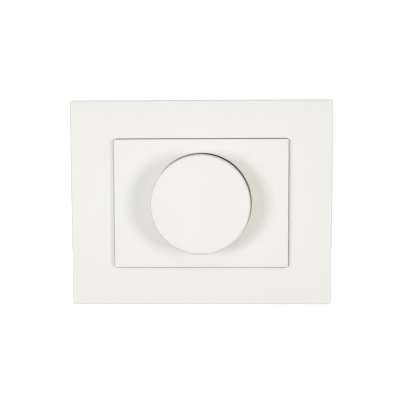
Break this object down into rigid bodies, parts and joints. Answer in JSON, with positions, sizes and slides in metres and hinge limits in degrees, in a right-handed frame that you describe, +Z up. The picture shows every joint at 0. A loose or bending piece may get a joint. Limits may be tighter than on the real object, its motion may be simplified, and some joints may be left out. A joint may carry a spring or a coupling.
{
  "type": "rotary dimmer switch",
  "caption": "White wall dimmer: a round push-and-turn knob on a rectangular plate in a wide frame, with support plate, claws and housing for a round wall box.",
  "frame": {"origin": "where the knob's axis meets the wall plane, midway between the box screws", "axes": "+X to the right along the long side of the frame, +Z up, +Y into the wall; the knob faces -Y"},
  "size_m": [0.1016, 0.0462, 0.08],
  "materials": {
    "white_plastic": "satin",
    "spring_steel": "satin",
    "shaft_metal": "satin",
    "nickel_brass": "satin",
    "zinc_steel": "satin",
    "screw_steel": "satin",
    "grey_plastic": "matt",
    "board_laminate": "satin",
    "pot_metal": "satin",
    "phenolic": "matt",
    "carbon_track": "matt",
    "black_plastic": "matt",
    "contact_metal": "satin",
    "white_slider": "matt",
    "terminal_brass": "satin",
    "pad_rubber": "matt",
    "ferrite": "matt",
    "copper_wire": "gloss",
    "film_case": "gloss",
    "red_case": "gloss",
    "fuse_tube": "gloss",
    "fuse_metal": "satin",
    "resistor_body": "satin",
    "diac_glass": "gloss"
  },
  "bodies": {
    "insert": {"outer_frame": "white_plastic", "centre_plate": "white_plastic", "switch_spring": "spring_steel", "bush": "nickel_brass", "fixing_nut": "nickel_brass", "cover_nut": "nickel_brass", "support_plate": "zinc_steel", "claw_pins": "zinc_steel", "claw_screws": "screw_steel", "housing_screws": "screw_steel", "terminal_screws": "screw_steel", "triac_screw": "screw_steel", "triac_nut": "screw_steel", "housing": "grey_plastic", "housing_lid": "grey_plastic", "circuit_board": "board_laminate", "pot_can": "pot_metal", "pot_base": "phenolic", "resistance_track": "carbon_track", "switch_case": "black_plastic", "triac": "black_plastic", "fixed_contacts": "contact_metal", "terminal_cages": "terminal_brass", "terminal_bars": "terminal_brass", "insulating_pad": "pad_rubber", "choke_core": "ferrite", "choke_winding": "copper_wire", "film_capacitor": "film_case", "timing_capacitor": "red_case", "fuse_glass": "fuse_tube", "fuse_caps": "fuse_metal", "fuse_clips": "fuse_metal", "resistors": "resistor_body", "diac": "diac_glass"},
    "push_slider": {"switch_slider": "white_slider", "moving_contact": "contact_metal"},
    "turning_knob": {"knob": "white_plastic", "knob_clip": "spring_steel", "shaft": "shaft_metal"},
    "wiper_rotor": {"rotor": "black_plastic", "wiper": "contact_metal"},
    "right_claw": {"claw_right": "zinc_steel"},
    "left_claw": {"claw_left": "zinc_steel"}
  },
  "joints": [
    {"name": "knob_push", "type": "slide", "parent": "insert", "child": "push_slider", "axis": [0, 1, 0], "range_m": [0, 0.0012], "stiffness_N_per_m": 1500, "springref_m": -0.002, "deforming": ["switch_spring"]},
    {"name": "knob_turn", "type": "hinge", "parent": "push_slider", "child": "turning_knob", "pos_m": [0, -0.0159, 0], "axis": [0, 1, 0], "range_deg": [0, 270]},
    {"name": "wiper_turn", "type": "hinge", "parent": "insert", "child": "wiper_rotor", "pos_m": [0, 0.0065, 0], "axis": [0, 1, 0], "range_deg": [0, 270]},
    {"name": "right_claw_swing", "type": "hinge", "parent": "insert", "child": "right_claw", "pos_m": [0.0249, 0.0044, -0.0076], "axis": [0, 0, -1], "range_deg": [0, 20]},
    {"name": "left_claw_swing", "type": "hinge", "parent": "insert", "child": "left_claw", "pos_m": [-0.0249, 0.0044, 0.0076], "axis": [0, 0, 1], "range_deg": [0, 20]}
  ],
  "couplings": [
    {"joint": "wiper_turn", "follows": "knob_turn", "ratio": 1}
  ]
}
